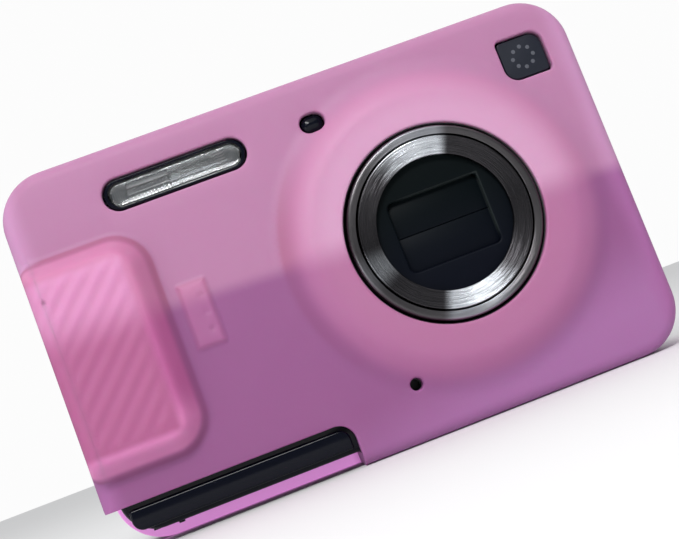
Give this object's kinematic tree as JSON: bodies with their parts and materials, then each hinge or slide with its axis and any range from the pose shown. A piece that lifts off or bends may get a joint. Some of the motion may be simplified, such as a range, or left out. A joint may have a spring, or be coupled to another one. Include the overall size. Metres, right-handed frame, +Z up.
{
  "type": "kids digital camera",
  "caption": "Compact zoom camera in a soft silicone sleeve, with a telescoping lens, flash, rear screen, buttons, battery door and side port cover.",
  "frame": {"origin": "centre of the bounding box in X and Y, at the bottom of the sleeve", "axes": "+X to the right when the lens is faced, +Y from the lens to the screen, +Z up"},
  "size_m": [0.0954, 0.0318, 0.061],
  "materials": {
    "silicone": "satin translucent silicone, pink",
    "black_gloss": "polished moulded black",
    "black_matt": "fine-grained black",
    "satin_silver": "satin turned aluminium",
    "gunmetal": "lathe-turned, darkened",
    "black_disc": "smooth semi-gloss black",
    "clear_glass": "polished clear",
    "mirror_metal": "mirror-bright pressed metal",
    "slate": "satin dark slate",
    "board": "solder-masked laminate",
    "steel": "plain bright steel",
    "brass": "machined brass",
    "grey_plastic": "moulded dark grey",
    "screen": "polished dark screen glass",
    "record_red": "red moulded plastic"
  },
  "bodies": {
    "camera_body": {"silicone_sleeve": "silicone", "front_cover": "black_gloss", "rear_cover": "black_matt", "top_panel": "black_gloss", "lower_trim": "black_gloss", "lens_housing": "black_matt", "zoom_motor": "steel", "image_sensor": "screen", "sensor_plate": "steel", "flash_bezel": "black_gloss", "flash_window": "clear_glass", "flash_reflector": "mirror_metal", "flash_tube": "clear_glass", "flash_capacitor": "black_matt", "af_lamp_lens": "black_gloss", "badge_plate": "slate", "microphone": "steel", "speaker": "black_matt", "chassis_plate": "steel", "main_board": "board", "button_board": "board", "battery": "grey_plastic", "battery_contacts": "brass", "card_slot": "steel", "memory_card": "grey_plastic", "lcd_window": "screen", "lcd_panel": "steel", "shutter_spring": "steel", "door_hinge_pin": "steel", "port_socket": "steel", "strap_lug": "steel", "tripod_nut": "brass", "case_screw_1": "steel", "case_screw_2": "steel"},
    "outer_barrel": {"outer_barrel": "satin_silver"},
    "inner_barrel": {"inner_barrel": "gunmetal", "front_disc": "black_disc", "front_lens": "clear_glass", "shutter_unit": "black_matt"},
    "upper_blade": {"barrier_blade_upper": "black_matt"},
    "lower_blade": {"barrier_blade_lower": "black_matt"},
    "focus_group": {"focus_carriage": "grey_plastic", "rear_lens": "clear_glass"},
    "cam_ring": {"cam_ring": "grey_plastic"},
    "motor_pinion": {"motor_pinion": "brass"},
    "shutter_button": {"shutter_button": "satin_silver"},
    "power_button": {"power_button": "satin_silver"},
    "record_button": {"record_button": "record_red"},
    "playback_button": {"playback_button": "grey_plastic"},
    "menu_button": {"menu_button": "grey_plastic"},
    "delete_button": {"delete_button": "grey_plastic"},
    "four_way_pivot": {"four_way_pivot": "black_matt"},
    "four_way_ring": {"four_way_ring": "grey_plastic"},
    "set_button": {"set_button": "grey_plastic"},
    "zoom_rocker": {"zoom_rocker": "grey_plastic"},
    "battery_door": {"battery_door": "black_gloss"},
    "door_latch": {"door_latch": "grey_plastic"},
    "port_cover": {"port_cover": "grey_plastic"}
  },
  "joints": [
    {"name": "lens_extend", "type": "slide", "parent": "camera_body", "child": "outer_barrel", "axis": [0, -1, 0], "range_m": [0, 0.0105]},
    {"name": "inner_extend", "type": "slide", "parent": "outer_barrel", "child": "inner_barrel", "axis": [0, -1, 0], "range_m": [0, 0.0105]},
    {"name": "upper_blade_open", "type": "slide", "parent": "inner_barrel", "child": "upper_blade", "axis": [0, 0, 1], "range_m": [0, 0.0049]},
    {"name": "lower_blade_open", "type": "slide", "parent": "inner_barrel", "child": "lower_blade", "axis": [0, 0, -1], "range_m": [0, 0.0049]},
    {"name": "cam_turn", "type": "hinge", "parent": "camera_body", "child": "cam_ring", "pos_m": [0.017, -0.002, 0.0308], "axis": [0, 1, 0], "range_deg": [0, 120]},
    {"name": "pinion_turn", "type": "hinge", "parent": "camera_body", "child": "motor_pinion", "pos_m": [0.03709, -0.005, 0.0424], "axis": [0, 1, 0], "range_deg": [-576, 0]},
    {"name": "focus_travel", "type": "slide", "parent": "camera_body", "child": "focus_group", "axis": [0, -1, 0], "range_m": [0, 0.0012]},
    {"name": "shutter_press", "type": "slide", "parent": "camera_body", "child": "shutter_button", "axis": [0, 0, -1], "range_m": [0, 0.001], "stiffness_N_per_m": 900, "deforming": ["shutter_spring"]},
    {"name": "power_press", "type": "slide", "parent": "camera_body", "child": "power_button", "axis": [0, 0, -1], "range_m": [0, 0.0005], "stiffness_N_per_m": 1200},
    {"name": "record_press", "type": "slide", "parent": "camera_body", "child": "record_button", "axis": [0, -1, 0], "range_m": [0, 0.0004], "stiffness_N_per_m": 1500},
    {"name": "playback_press", "type": "slide", "parent": "camera_body", "child": "playback_button", "axis": [0, -1, 0], "range_m": [0, 0.0004], "stiffness_N_per_m": 1500},
    {"name": "menu_press", "type": "slide", "parent": "camera_body", "child": "menu_button", "axis": [0, -1, 0], "range_m": [0, 0.0004], "stiffness_N_per_m": 1500},
    {"name": "delete_press", "type": "slide", "parent": "camera_body", "child": "delete_button", "axis": [0, -1, 0], "range_m": [0, 0.0004], "stiffness_N_per_m": 1500},
    {"name": "set_press", "type": "slide", "parent": "camera_body", "child": "set_button", "axis": [0, -1, 0], "range_m": [0, 0.0004], "stiffness_N_per_m": 1500},
    {"name": "ring_tilt_up_down", "type": "hinge", "parent": "camera_body", "child": "four_way_pivot", "pos_m": [-0.0292, 0.0115, 0.0244], "axis": [1, 0, 0], "range_deg": [-1.8, 1.8], "stiffness_Nm_per_rad": 0.6},
    {"name": "ring_tilt_left_right", "type": "hinge", "parent": "four_way_pivot", "child": "four_way_ring", "pos_m": [-0.0292, 0.0115, 0.0244], "axis": [0, 0, 1], "range_deg": [-1.8, 1.8], "stiffness_Nm_per_rad": 0.6},
    {"name": "zoom_rock", "type": "hinge", "parent": "camera_body", "child": "zoom_rocker", "pos_m": [-0.0342, 0.0125, 0.0442], "axis": [0, 0, 1], "range_deg": [-4, 4], "stiffness_Nm_per_rad": 0.25},
    {"name": "battery_door_hinge", "type": "hinge", "parent": "camera_body", "child": "battery_door", "pos_m": [-0.0102, -0.00195, 0.00375], "axis": [0, -1, 0], "range_deg": [0, 90]},
    {"name": "door_latch_slide", "type": "slide", "parent": "battery_door", "child": "door_latch", "axis": [1, 0, 0], "range_m": [0, 0.0016]},
    {"name": "port_cover_hinge", "type": "hinge", "parent": "camera_body", "child": "port_cover", "pos_m": [0.04475, 0.006, 0.0195], "axis": [0, 0, 1], "range_deg": [0, 95]}
  ],
  "couplings": [
    {"joint": "inner_extend", "follows": "lens_extend", "ratio": 1},
    {"joint": "upper_blade_open", "follows": "lens_extend", "ratio": 0.4666},
    {"joint": "lower_blade_open", "follows": "lens_extend", "ratio": 0.4666},
    {"joint": "cam_turn", "follows": "lens_extend", "rad_per_m": 199},
    {"joint": "pinion_turn", "follows": "lens_extend", "rad_per_m": -955.2}
  ]
}
